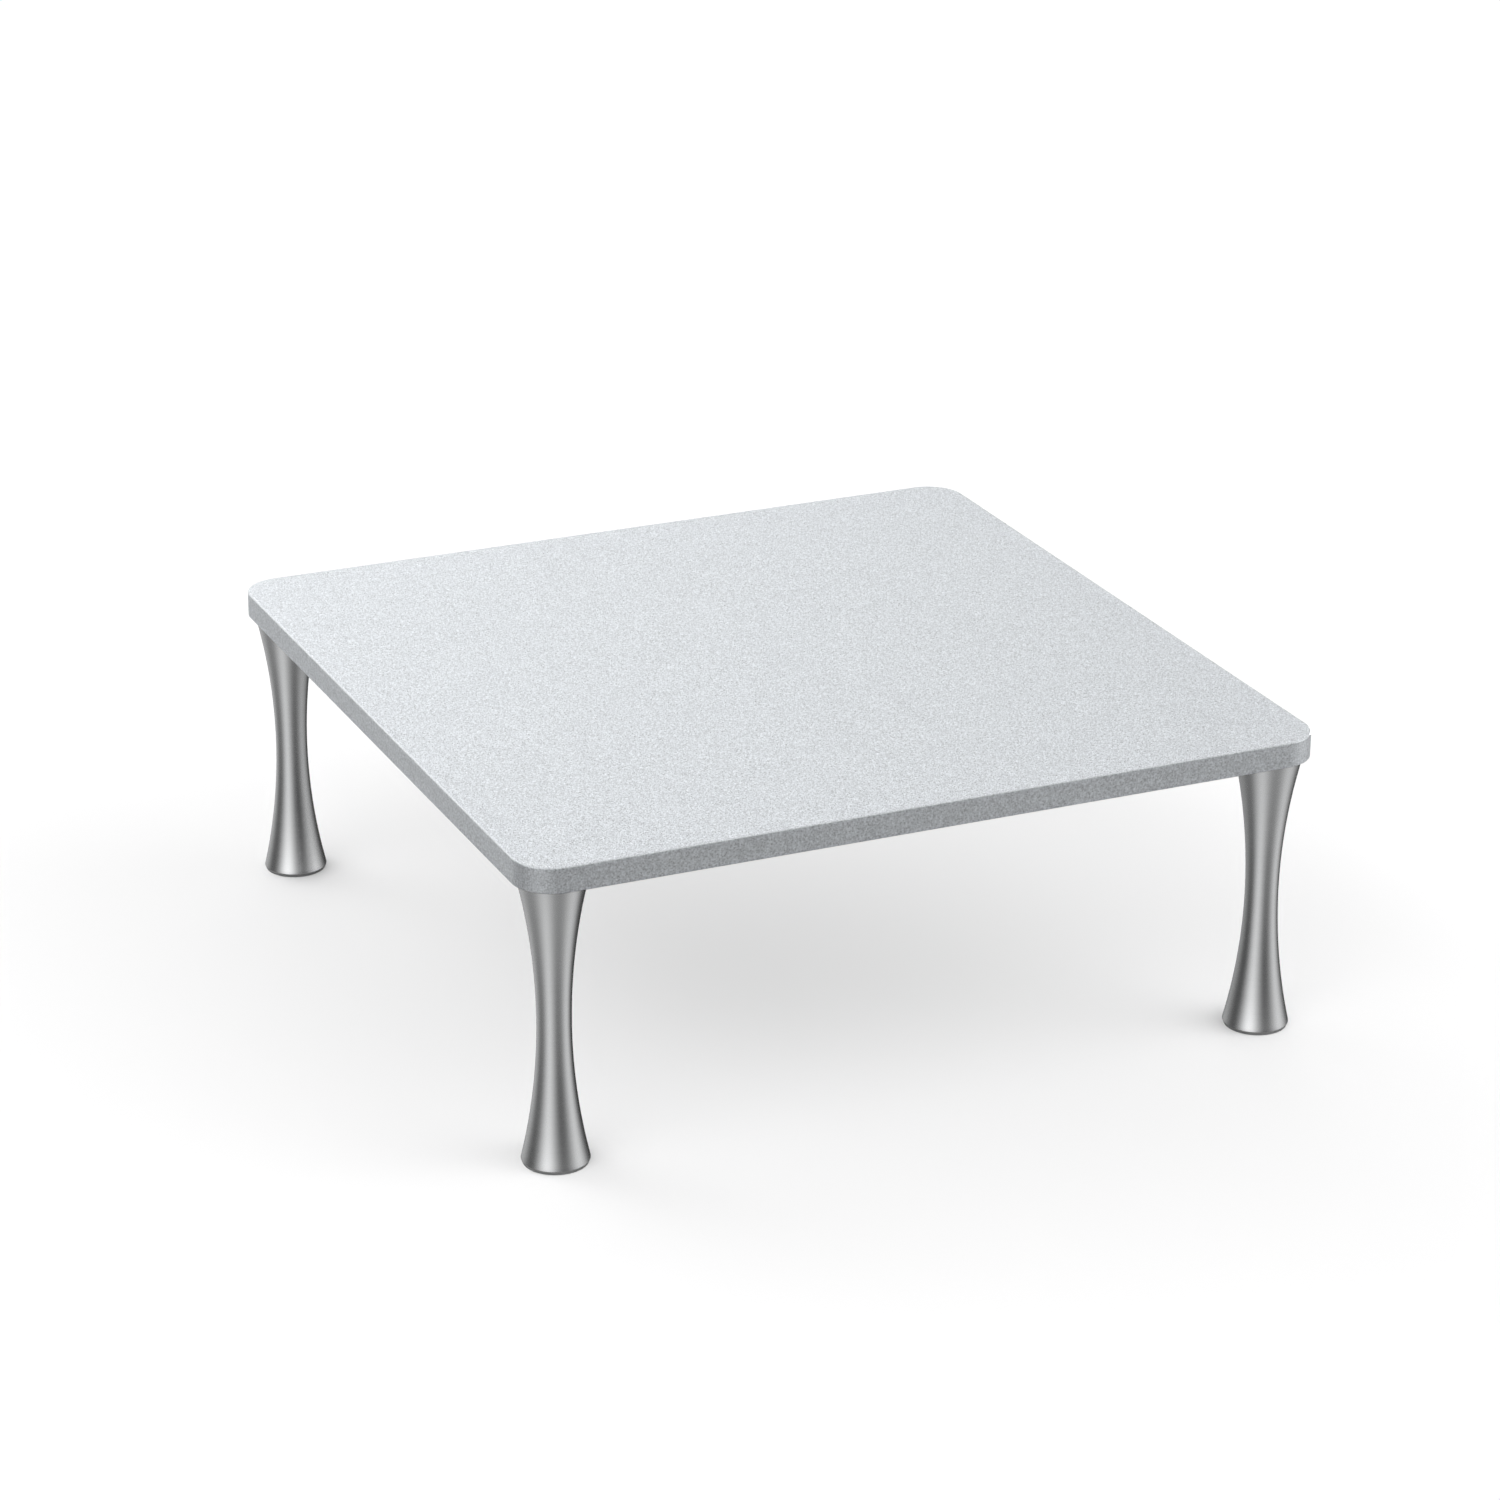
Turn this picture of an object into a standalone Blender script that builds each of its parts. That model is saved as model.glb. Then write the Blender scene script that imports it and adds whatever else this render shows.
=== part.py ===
"""Square riser stand: one rounded plate on four turned hourglass legs.

Each leg is a solid steel turning with a waist. An M6 set screw is fixed in its
top end and screws into an insert pressed into the underside of the plate, with
a thin nylon washer between leg and plate. A rubber disc sits in a recess under
the foot. Units are metres, +Z is up, and the origin is on the floor, under the
middle of the plate.
"""

import bpy
import math

# ---------------------------------------------------------------- dimensions
# plate
PLATE_SIDE = 0.3000          # square, edge to edge
PLATE_THICK = 0.0095
CORNER_RADIUS = 0.0145       # concentric with the leg axis
PLATE_EDGE_ROUND = 0.0008    # rounding of the top and bottom edges
STAND_HEIGHT = 0.1140        # floor to top face
UNDERSIDE_Z = STAND_HEIGHT - PLATE_THICK

# legs
LEG_INSET = 0.0145           # leg axis from the plate's edges
LEG_END_RADIUS = 0.0121      # radius of the waisted arc at half the arc length
LEG_WAIST_RADIUS = 0.00595
LEG_WAIST_Z = 0.0524
LEG_ARC_HALF = 0.0520        # half length over which the waist grows to the end radius
LEG_BOTTOM_Z = 0.0001        # the metal rim just clears the floor
FOOT_TAPER_HEIGHT = 0.0014   # the foot tapers in just above the floor
FOOT_TAPER_IN = 0.00055
LEG_TOP_CHAMFER = 0.0003

# washer between leg and plate
GAP = 0.0003                 # between faces that touch
WASHER_THICK = 0.0004
WASHER_RADIUS = 0.0110
WASHER_HOLE_RADIUS = 0.0033
LEG_TOP_Z = UNDERSIDE_Z - 2.0 * GAP - WASHER_THICK

# M6 set screw and its holes
STUD_RADIUS = 0.0030
STUD_CLEARANCE = 0.00015     # radial, between the screw and its threads
STUD_LENGTH = 0.0195
STUD_IN_PLATE = 0.0068       # how far it reaches above the underside
STUD_CHAMFER = 0.0005
STUD_SOCKET_AF = 0.0030      # hexagon socket, across flats
STUD_SOCKET_DEPTH = 0.0025
LEG_BORE_END_GAP = 0.0004

# insert in the plate
INSERT_RADIUS = 0.0045
INSERT_LENGTH = 0.0072
INSERT_RECESS = 0.0003       # its lower face sits inside the plate
INSERT_GROOVE = 0.00035      # depth of the two grooves that grip the plate
POCKET_RADIUS = INSERT_RADIUS + 0.00015
POCKET_DEPTH = INSERT_RECESS + INSERT_LENGTH + 0.0004

# rubber pad under the foot
PAD_RADIUS = 0.0090
PAD_THICK = 0.0025
PAD_CHAMFER = 0.0003
RECESS_RADIUS = PAD_RADIUS + 0.0003
RECESS_TOP_Z = PAD_THICK + 0.0003

# facets
LEG_SEGMENTS = 32
SMALL_SEGMENTS = 24

CORNERS = {
    "front_left": (-1.0, -1.0),
    "front_right": (1.0, -1.0),
    "back_left": (-1.0, 1.0),
    "back_right": (1.0, 1.0),
}

# ------------------------------------------------------------- a clean start
for old in list(bpy.data.objects):
    bpy.data.objects.remove(old, do_unlink=True)

parts = bpy.data.collections.new("riser_stand")
cutters = bpy.data.collections.new("cutters")
for collection in (parts, cutters):
    bpy.context.scene.collection.children.link(collection)


def principled(name, colour, roughness, metallic):
    material = bpy.data.materials.new(name)
    material.use_nodes = True
    shader = material.node_tree.nodes["Principled BSDF"]
    shader.inputs["Base Color"].default_value = (*colour, 1.0)
    shader.inputs["Roughness"].default_value = roughness
    shader.inputs["Metallic"].default_value = metallic
    return material


PLATE_FINISH = principled("blasted_aluminium", (0.72, 0.75, 0.77), 0.55, 0.6)
LEG_FINISH = principled("satin_steel", (0.62, 0.63, 0.63), 0.28, 1.0)
STUD_FINISH = principled("zinc_steel", (0.52, 0.53, 0.55), 0.35, 1.0)
INSERT_FINISH = principled("insert_brass", (0.78, 0.60, 0.30), 0.35, 1.0)
WASHER_FINISH = principled("nylon", (0.16, 0.16, 0.17), 0.55, 0.0)
PAD_FINISH = principled("pad_rubber", (0.035, 0.035, 0.038), 0.80, 0.0)


def place(obj, finish, collection=parts):
    collection.objects.link(obj)
    obj.data.materials.clear()
    obj.data.materials.append(finish)
    return obj


def arc(centre_x, centre_z, radius, start_deg, end_deg, steps):
    """Points of an arc in the XZ plane, ends included."""
    points = []
    for i in range(steps + 1):
        a = math.radians(start_deg + (end_deg - start_deg) * i / steps)
        points.append((centre_x + radius * math.cos(a), centre_z + radius * math.sin(a)))
    return points


def turned(name, profile, segments, closed=False):
    """Mesh object: an XZ profile turned about Z by a Screw modifier."""
    mesh = bpy.data.meshes.new(name)
    edges = [(i, i + 1) for i in range(len(profile) - 1)]
    if closed:
        edges.append((len(profile) - 1, 0))
    mesh.from_pydata([(x, 0.0, z) for x, z in profile], edges, [])
    obj = bpy.data.objects.new(name, mesh)
    screw = obj.modifiers.new("turn", "SCREW")
    screw.axis = "Z"
    screw.angle = 2.0 * math.pi
    screw.steps = segments
    screw.render_steps = segments
    screw.use_merge_vertices = True
    screw.merge_threshold = 0.00001
    screw.use_smooth_shade = True
    return obj


# --------------------------------------------------------------------- plate
def rounded_square(name, side, radius, steps):
    """Flat filled curve: a square with rounded corners, centred on the origin."""
    half = side / 2.0 - radius
    points = []
    for sx, sy, start in ((1, 1, 0), (-1, 1, 90), (-1, -1, 180), (1, -1, 270)):
        for x, y in arc(sx * half, sy * half, radius, start, start + 90, steps):
            points.append((x, y))
    curve = bpy.data.curves.new(name, "CURVE")
    curve.dimensions = "2D"
    curve.fill_mode = "BOTH"
    spline = curve.splines.new("POLY")
    spline.points.add(len(points) - 1)
    for point, (x, y) in zip(spline.points, points):
        point.co = (x, y, 0.0, 1.0)
    spline.use_cyclic_u = True
    return curve


def curve_to_mesh(name, curve):
    """The curve as a closed mesh, its loose caps welded."""
    import bmesh

    temp = bpy.data.objects.new(name + "_curve", curve)
    bpy.context.scene.collection.objects.link(temp)
    bpy.context.view_layer.update()
    evaluated = temp.evaluated_get(bpy.context.evaluated_depsgraph_get())
    mesh = bpy.data.meshes.new_from_object(evaluated)
    mesh.name = name
    bpy.data.objects.remove(temp, do_unlink=True)
    bm = bmesh.new()
    bm.from_mesh(mesh)
    bmesh.ops.remove_doubles(bm, verts=bm.verts, dist=0.00001)
    bmesh.ops.dissolve_limit(
        bm, angle_limit=math.radians(0.5), verts=bm.verts, edges=bm.edges
    )
    bmesh.ops.recalc_face_normals(bm, faces=bm.faces)
    bm.to_mesh(mesh)
    bm.free()
    return mesh


outline = rounded_square("plate_outline", PLATE_SIDE, CORNER_RADIUS, 10)
outline.extrude = PLATE_THICK / 2.0
plate = bpy.data.objects.new("top_plate", curve_to_mesh("top_plate", outline))
plate.location = (0.0, 0.0, UNDERSIDE_Z + PLATE_THICK / 2.0)
place(plate, PLATE_FINISH)

edge_round = plate.modifiers.new("edge_round", "BEVEL")
edge_round.width = PLATE_EDGE_ROUND
edge_round.segments = 3
edge_round.limit_method = "ANGLE"
edge_round.angle_limit = math.radians(60.0)

for corner, (sx, sy) in CORNERS.items():
    pocket = turned(
        "pocket_" + corner,
        [
            (0.0, POCKET_DEPTH),
            (POCKET_RADIUS, POCKET_DEPTH),
            (POCKET_RADIUS, -0.002),
            (0.0, -0.002),
        ],
        SMALL_SEGMENTS,
    )
    cutters.objects.link(pocket)
    pocket.hide_render = True
    pocket.display_type = "WIRE"
    pocket.location = (
        sx * (PLATE_SIDE / 2.0 - LEG_INSET),
        sy * (PLATE_SIDE / 2.0 - LEG_INSET),
        UNDERSIDE_Z,
    )
    cut = plate.modifiers.new("pocket_" + corner, "BOOLEAN")
    cut.operation = "DIFFERENCE"
    cut.solver = "EXACT"
    cut.object = pocket


# ------------------------------------------------------------- the leg's form
ARC_RADIUS = (
    LEG_ARC_HALF**2 + (LEG_END_RADIUS - LEG_WAIST_RADIUS) ** 2
) / (2.0 * (LEG_END_RADIUS - LEG_WAIST_RADIUS))


def leg_radius(z):
    """Radius of the leg at height z: one circular arc, thinnest at the waist."""
    return LEG_WAIST_RADIUS + ARC_RADIUS - math.sqrt(ARC_RADIUS**2 - (z - LEG_WAIST_Z) ** 2)


def leg_profile():
    bore = STUD_RADIUS + STUD_CLEARANCE
    bore_end = UNDERSIDE_Z + STUD_IN_PLATE - STUD_LENGTH - LEG_BORE_END_GAP
    top_radius = leg_radius(LEG_TOP_Z)
    points = [
        (0.0, bore_end - bore * 0.58),      # drill point
        (bore, bore_end),
        (bore, LEG_TOP_Z - 0.0004),
        (bore + 0.0004, LEG_TOP_Z),         # mouth of the bore
        (top_radius - LEG_TOP_CHAMFER, LEG_TOP_Z),
        (leg_radius(LEG_TOP_Z - LEG_TOP_CHAMFER), LEG_TOP_Z - LEG_TOP_CHAMFER),
    ]
    # the waist, with shorter steps towards its ends
    steps = 14
    rim_z = LEG_BOTTOM_Z + FOOT_TAPER_HEIGHT
    high = LEG_TOP_Z - LEG_TOP_CHAMFER
    for i in range(1, steps + 1):
        z = high + (rim_z - high) * i / steps
        points.append((leg_radius(z), z))
    # the foot's tapered rim, then the recess for the pad
    points += [
        (leg_radius(rim_z) - FOOT_TAPER_IN, LEG_BOTTOM_Z),
        (RECESS_RADIUS, LEG_BOTTOM_Z),
        (RECESS_RADIUS, RECESS_TOP_Z),
        (0.0, RECESS_TOP_Z),
    ]
    return points


def stud_profile():
    c = STUD_CHAMFER
    return [
        (0.0, STUD_LENGTH),
        (STUD_RADIUS - c, STUD_LENGTH),
        (STUD_RADIUS, STUD_LENGTH - c),
        (STUD_RADIUS, c),
        (STUD_RADIUS - c, 0.0),
        (0.0, 0.0),
    ]


def insert_profile():
    """Closed ring: a bush with two grooves round its outside."""
    bore = STUD_RADIUS + STUD_CLEARANCE
    r, g, n = INSERT_RADIUS, INSERT_GROOVE, INSERT_LENGTH
    return [
        (bore, n),
        (r - 0.0003, n),
        (r, n - 0.0003),
        (r, n * 0.72),
        (r - g, n * 0.68),
        (r - g, n * 0.60),
        (r, n * 0.56),
        (r, n * 0.40),
        (r - g, n * 0.36),
        (r - g, n * 0.28),
        (r, n * 0.24),
        (r, 0.0),
        (bore + 0.0003, 0.0),
        (bore, 0.0003),
    ]


def washer_profile():
    return [
        (WASHER_HOLE_RADIUS, WASHER_THICK),
        (WASHER_RADIUS, WASHER_THICK),
        (WASHER_RADIUS, 0.0),
        (WASHER_HOLE_RADIUS, 0.0),
    ]


def pad_profile():
    c = PAD_CHAMFER
    return [
        (0.0, PAD_THICK),
        (PAD_RADIUS, PAD_THICK),
        (PAD_RADIUS, c),
        (PAD_RADIUS - c, 0.0),
        (0.0, 0.0),
    ]


def add_leg_set(corner, sx, sy):
    """One leg and what belongs to it, hung from an empty on the leg's axis."""
    axis = bpy.data.objects.new("axis_" + corner, None)
    axis.empty_display_size = 0.01
    axis.location = (
        sx * (PLATE_SIDE / 2.0 - LEG_INSET),
        sy * (PLATE_SIDE / 2.0 - LEG_INSET),
        0.0,
    )
    parts.objects.link(axis)

    leg = place(turned("leg_" + corner, leg_profile(), LEG_SEGMENTS), LEG_FINISH)

    stud = place(turned("stud_" + corner, stud_profile(), SMALL_SEGMENTS), STUD_FINISH)
    stud.location.z = UNDERSIDE_Z + STUD_IN_PLATE - STUD_LENGTH
    bpy.ops.mesh.primitive_cylinder_add(
        vertices=6,
        radius=STUD_SOCKET_AF / math.sqrt(3.0),
        depth=2.0 * STUD_SOCKET_DEPTH,
    )
    socket = bpy.context.object
    socket.name = "socket_" + corner
    for holder in list(socket.users_collection):
        holder.objects.unlink(socket)
    cutters.objects.link(socket)
    socket.hide_render = True
    socket.display_type = "WIRE"
    socket.parent = stud
    socket.location = (0.0, 0.0, STUD_LENGTH)
    key = stud.modifiers.new("socket", "BOOLEAN")
    key.operation = "DIFFERENCE"
    key.solver = "EXACT"
    key.object = socket

    washer = place(
        turned("washer_" + corner, washer_profile(), SMALL_SEGMENTS, closed=True), WASHER_FINISH
    )
    washer.location.z = UNDERSIDE_Z - GAP - WASHER_THICK

    insert = place(
        turned("insert_" + corner, insert_profile(), SMALL_SEGMENTS, closed=True), INSERT_FINISH
    )
    insert.location.z = UNDERSIDE_Z + INSERT_RECESS

    pad = place(turned("foot_pad_" + corner, pad_profile(), SMALL_SEGMENTS), PAD_FINISH)

    for piece in (leg, stud, washer, insert, pad):
        piece.parent = axis


for corner, (sx, sy) in CORNERS.items():
    add_leg_set(corner, sx, sy)

bpy.context.view_layer.update()
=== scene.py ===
import math

import bpy
import numpy as np
from mathutils import Matrix, Vector
from mathutils.geometry import tessellate_polygon


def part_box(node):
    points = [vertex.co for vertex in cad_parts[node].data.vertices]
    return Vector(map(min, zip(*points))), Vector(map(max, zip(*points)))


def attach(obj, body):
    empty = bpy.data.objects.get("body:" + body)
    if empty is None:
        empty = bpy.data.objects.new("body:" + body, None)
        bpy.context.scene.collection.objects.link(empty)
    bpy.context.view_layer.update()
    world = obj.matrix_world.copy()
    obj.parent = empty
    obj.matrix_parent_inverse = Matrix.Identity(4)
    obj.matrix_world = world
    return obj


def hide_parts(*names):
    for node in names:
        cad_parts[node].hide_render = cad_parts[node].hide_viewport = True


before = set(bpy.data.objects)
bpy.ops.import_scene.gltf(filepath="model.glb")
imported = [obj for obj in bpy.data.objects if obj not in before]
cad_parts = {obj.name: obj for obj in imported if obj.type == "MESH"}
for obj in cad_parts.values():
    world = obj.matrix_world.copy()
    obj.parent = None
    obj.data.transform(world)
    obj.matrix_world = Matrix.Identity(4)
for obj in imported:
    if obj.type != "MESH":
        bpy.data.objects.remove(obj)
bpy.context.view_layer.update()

scene = bpy.context.scene
scene.view_settings.view_transform = "Standard"
scene.view_settings.look = "None"
scene.view_settings.exposure = 0.0
scene.view_settings.gamma = 1.0
scene.cycles.denoising_prefilter = "FAST"

CORNERS = ("front_left", "front_right", "back_left", "back_right")

# ------------------------------------------------------------- sizes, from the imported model
plate_low, plate_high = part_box("top_plate")
leg_low, leg_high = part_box("leg_front_right")
stud_low, stud_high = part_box("stud_front_right")
insert_low, insert_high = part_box("insert_front_right")
washer_low, washer_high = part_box("washer_front_right")
pad_low, pad_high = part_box("foot_pad_front_right")

SIDE = plate_high.x - plate_low.x
TOP = plate_high.z
UNDER = plate_low.z
AXIS = {}
for corner in CORNERS:
    low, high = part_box("leg_" + corner)
    AXIS[corner] = ((low.x + high.x) / 2.0, (low.y + high.y) / 2.0)
INSET = SIDE / 2.0 - abs(AXIS["front_right"][0])
CORNER_RADIUS = INSET
EDGE_ROUND, UNDER_ROUND = 0.0008, 0.00035

LEG_TOP = leg_high.z + 0.00055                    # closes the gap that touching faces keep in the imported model
LEG_BOTTOM = leg_low.z
WAIST_Z = 0.0524
WAIST_RADIUS = 0.00595
END_RADIUS = 0.0121
ARC_HALF = 0.0520
ARC_RADIUS = (ARC_HALF ** 2 + (END_RADIUS - WAIST_RADIUS) ** 2) / (2.0 * (END_RADIUS - WAIST_RADIUS))
RIM_HEIGHT, RIM_INSET = 0.0014, 0.00055           # the foot tapers in just above the floor

PITCH = 0.0010
STUD_RADIUS = (stud_high.x - stud_low.x) / 2.0
THREAD_DEPTH = 0.00055
INSERT_RADIUS = (insert_high.x - insert_low.x) / 2.0
POCKET_RADIUS = INSERT_RADIUS + 0.00015
POCKET_TOP = insert_high.z + 0.0004
PAD_RADIUS = (pad_high.x - pad_low.x) / 2.0
RECESS_RADIUS = PAD_RADIUS + 0.0003
RECESS_TOP = pad_high.z + 0.0003


def leg_radius(z):
    return WAIST_RADIUS + ARC_RADIUS - math.sqrt(ARC_RADIUS ** 2 - (z - WAIST_Z) ** 2)


# ------------------------------------------------------------- mesh helpers
def mesh_object(name, verts, faces, loop_normals=None, loop_uvs=None, location=(0.0, 0.0, 0.0)):
    mesh = bpy.data.meshes.new(name)
    mesh.from_pydata([tuple(v) for v in verts], [], [tuple(f) for f in faces])
    if loop_uvs is not None:
        layer = mesh.uv_layers.new(name="OFBake")
        layer.data.foreach_set("uv", np.asarray(loop_uvs, np.float32).ravel())
    mesh.polygons.foreach_set("use_smooth", [True] * len(mesh.polygons))
    mesh.update()
    if loop_normals is not None:
        mesh.normals_split_custom_set([tuple(n) for n in loop_normals])
    mesh.update()
    obj = bpy.data.objects.new(name, mesh)
    obj.location = location
    scene.collection.objects.link(obj)
    return obj


def turned(name, profile, segments, location, v_marks, radial=None, smooth_deg=32.0):
    """A closed turning. profile holds (radius, z) from the axis round to the axis again, anticlockwise seen with the
    axis on the left, so that faces point outwards. v_marks gives each point's v in the bake map. radial, if given,
    moves ring i's points in or out: radial(i, angle, radius, z) -> radius."""
    n = len(profile)
    verts, ring_of = [], []
    for i, (r, z) in enumerate(profile):
        if r < 1e-9:
            ring_of.append([len(verts)])
            verts.append((0.0, 0.0, z))
            continue
        ring = []
        for k in range(segments):
            a = 2.0 * math.pi * k / segments
            rr = radial(i, a, r, z) if radial else r
            ring.append(len(verts))
            verts.append((rr * math.cos(a), rr * math.sin(a), z))
        ring_of.append(ring)
    faces, uvs = [], []
    for i in range(n - 1):
        a, b = ring_of[i], ring_of[i + 1]
        va, vb = v_marks[i], v_marks[i + 1]
        for k in range(segments):
            k2 = (k + 1) % segments
            u0, u1 = k / segments, (k + 1) / segments
            um = (u0 + u1) / 2.0
            if len(a) == 1:
                faces.append((a[0], b[k2], b[k]))
                uvs += [(um, va), (u1, vb), (u0, vb)]
            elif len(b) == 1:
                faces.append((a[k], a[k2], b[0]))
                uvs += [(u0, va), (u1, va), (um, vb)]
            else:
                faces.append((a[k], a[k2], b[k2], b[k]))
                uvs += [(u0, va), (u1, va), (u1, vb), (u0, vb)]
    obj = mesh_object(name, verts, faces, None, [(0.004 + 0.992 * u, 0.004 + 0.992 * v) for u, v in uvs], location)
    obj.data.set_sharp_from_angle(angle=math.radians(smooth_deg))
    return obj


def marks(profile, spans):
    """v for each profile point: spans is a list of (first index, last index, v at first, v at last); inside a span v
    grows with the length along the profile."""
    v = [0.0] * len(profile)
    for first, last, v0, v1 in spans:
        run = [0.0]
        for i in range(first, last):
            run.append(run[-1] + math.hypot(profile[i + 1][0] - profile[i][0], profile[i + 1][1] - profile[i][1]))
        for i in range(first, last + 1):
            v[i] = v0 + (v1 - v0) * run[i - first] / max(run[-1], 1e-12)
    return v


def quarter(cx, cz, radius, start_deg, end_deg, steps):
    return [(cx + radius * math.cos(math.radians(start_deg + (end_deg - start_deg) * i / steps)),
             cz + radius * math.sin(math.radians(start_deg + (end_deg - start_deg) * i / steps)))
            for i in range(steps + 1)]


def rounded(corner, start_deg, end_deg, radius, steps):
    """A corner between two straight runs, rounded off. The angles are those of the outward normals before and after."""
    a, b = math.radians(start_deg), math.radians(end_deg)
    reach = radius / math.cos((b - a) / 2.0)
    middle = (a + b) / 2.0
    cx, cz = corner[0] - reach * math.cos(middle), corner[1] - reach * math.sin(middle)
    return quarter(cx, cz, radius, start_deg, end_deg, steps)


# ------------------------------------------------------------- node helpers
def new_material(name):
    material = bpy.data.materials.new(name)
    material.use_nodes = True
    tree = material.node_tree
    shader = tree.nodes["Principled BSDF"]
    return material, tree, shader


def node(tree, kind, **values):
    made = tree.nodes.new(kind)
    for key, value in values.items():
        setattr(made, key, value)
    return made


def put(tree, socket, value):
    if isinstance(value, bpy.types.NodeSocket):
        tree.links.new(value, socket)
    else:
        socket.default_value = value


def math_node(tree, operation, a, b=None, c=None, clamp=False):
    made = node(tree, "ShaderNodeMath", operation=operation, use_clamp=clamp)
    for socket, value in zip(made.inputs, (a, b, c)):
        if value is not None:
            put(tree, socket, value)
    return made.outputs[0]


def noise(tree, vector, scale, detail=0.0, roughness=0.5):
    made = node(tree, "ShaderNodeTexNoise", noise_dimensions="3D")
    put(tree, made.inputs["Vector"], vector)
    made.inputs["Scale"].default_value = scale
    made.inputs["Detail"].default_value = detail
    made.inputs["Roughness"].default_value = roughness
    return made.outputs["Fac"]


def scaled_vector(tree, vector, scale):
    made = node(tree, "ShaderNodeVectorMath", operation="MULTIPLY")
    put(tree, made.inputs[0], vector)
    made.inputs[1].default_value = scale
    return made.outputs[0]


def spread(tree, value, amount, middle=0.5):
    """1 + amount * (value - middle)"""
    centred = math_node(tree, "SUBTRACT", value, middle)
    return math_node(tree, "MULTIPLY_ADD", centred, amount, 1.0)


def tinted(tree, colour, factor):
    made = node(tree, "ShaderNodeVectorMath", operation="SCALE")
    made.inputs[0].default_value = colour
    put(tree, made.inputs["Scale"], factor)
    return made.outputs[0]


# ------------------------------------------------------------- materials
PLATE_METALLIC = 0.7
PLATE_ROUGHNESS = 0.48
EDGE_SMOOTHER = 0.14
PLATE_COLOUR = (0.520, 0.541, 0.559)
GRAIN, SIDE_GRAIN = 2.75, 1.65


def blasted_aluminium():
    """Bead-blasted, clear anodised plate: tiny dimples that each catch the light a little differently."""
    material, tree, shader = new_material("blasted_aluminium")
    coordinates = node(tree, "ShaderNodeTexCoord")
    where = coordinates.outputs["Object"]
    parts = node(tree, "ShaderNodeSeparateXYZ")
    put(tree, parts.inputs[0], coordinates.outputs["Normal"])
    upright = math_node(tree, "SUBTRACT", 1.0, math_node(tree, "ABSOLUTE", parts.outputs[2]), clamp=True)   # 1 on the sides
    blend = node(tree, "ShaderNodeMix", data_type="FLOAT")
    for socket, value in zip((blend.inputs[0], blend.inputs[2], blend.inputs[3]),
                             (upright, noise(tree, where, 2600.0, 2.0, 0.6), noise(tree, where, 1750.0, 2.0, 0.6))):
        put(tree, socket, value)
    dimples = blend.outputs[0]
    slow = noise(tree, where, 9.0, 2.0, 0.5)
    amount = math_node(tree, "MULTIPLY_ADD", upright, SIDE_GRAIN - GRAIN, GRAIN)
    factor = math_node(tree, "MULTIPLY_ADD", math_node(tree, "SUBTRACT", dimples, 0.5), amount, 1.0)
    factor = math_node(tree, "MULTIPLY", factor, spread(tree, slow, 0.02))
    put(tree, shader.inputs["Base Color"], tinted(tree, PLATE_COLOUR, factor))
    # handling has smoothed the rounded edges
    edge = math_node(tree, "MULTIPLY", math_node(tree, "MULTIPLY", upright, 12.0, clamp=True),
                     math_node(tree, "MULTIPLY", math_node(tree, "SUBTRACT", 0.95, upright), 6.0, clamp=True))
    rough = math_node(tree, "MULTIPLY_ADD", edge, -EDGE_SMOOTHER, PLATE_ROUGHNESS)
    rough = math_node(tree, "MULTIPLY_ADD", math_node(tree, "SUBTRACT", dimples, 0.5), 0.12, rough)
    put(tree, shader.inputs["Roughness"], rough)
    shader.inputs["Metallic"].default_value = PLATE_METALLIC
    bump = node(tree, "ShaderNodeBump")
    bump.inputs["Strength"].default_value = 0.8
    bump.inputs["Distance"].default_value = 0.00008
    put(tree, bump.inputs["Height"], dimples)
    put(tree, shader.inputs["Normal"], bump.outputs["Normal"])
    return material


def satin_steel():
    """Turned stainless steel: fine rings round the axis, so highlights stretch along the leg."""
    material, tree, shader = new_material("satin_steel")
    where = node(tree, "ShaderNodeTexCoord").outputs["Object"]
    rings = noise(tree, scaled_vector(tree, where, (60.0, 60.0, 4200.0)), 1.0, 1.0, 0.5)
    broad = noise(tree, scaled_vector(tree, where, (25.0, 25.0, 500.0)), 1.0, 1.0, 0.5)
    slow = noise(tree, where, 45.0, 2.0, 0.5)
    factor = math_node(tree, "MULTIPLY", spread(tree, rings, 0.02), spread(tree, broad, 0.03))
    factor = math_node(tree, "MULTIPLY", factor, spread(tree, slow, 0.03))
    put(tree, shader.inputs["Base Color"], tinted(tree, (0.655, 0.663, 0.668), factor))
    rough = math_node(tree, "MULTIPLY_ADD", math_node(tree, "SUBTRACT", rings, 0.5), 0.04, 0.25)
    rough = math_node(tree, "MULTIPLY_ADD", math_node(tree, "SUBTRACT", slow, 0.5), 0.06, rough)
    put(tree, shader.inputs["Roughness"], rough)
    shader.inputs["Metallic"].default_value = 1.0
    shader.inputs["Anisotropic"].default_value = 0.25
    shader.inputs["Anisotropic Rotation"].default_value = 0.25
    tangent = node(tree, "ShaderNodeTangent", direction_type="RADIAL", axis="Z")
    put(tree, shader.inputs["Tangent"], tangent.outputs[0])
    bump = node(tree, "ShaderNodeBump")
    bump.inputs["Strength"].default_value = 0.05
    bump.inputs["Distance"].default_value = 0.00002
    put(tree, bump.inputs["Height"], rings)
    put(tree, shader.inputs["Normal"], bump.outputs["Normal"])
    return material


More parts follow.
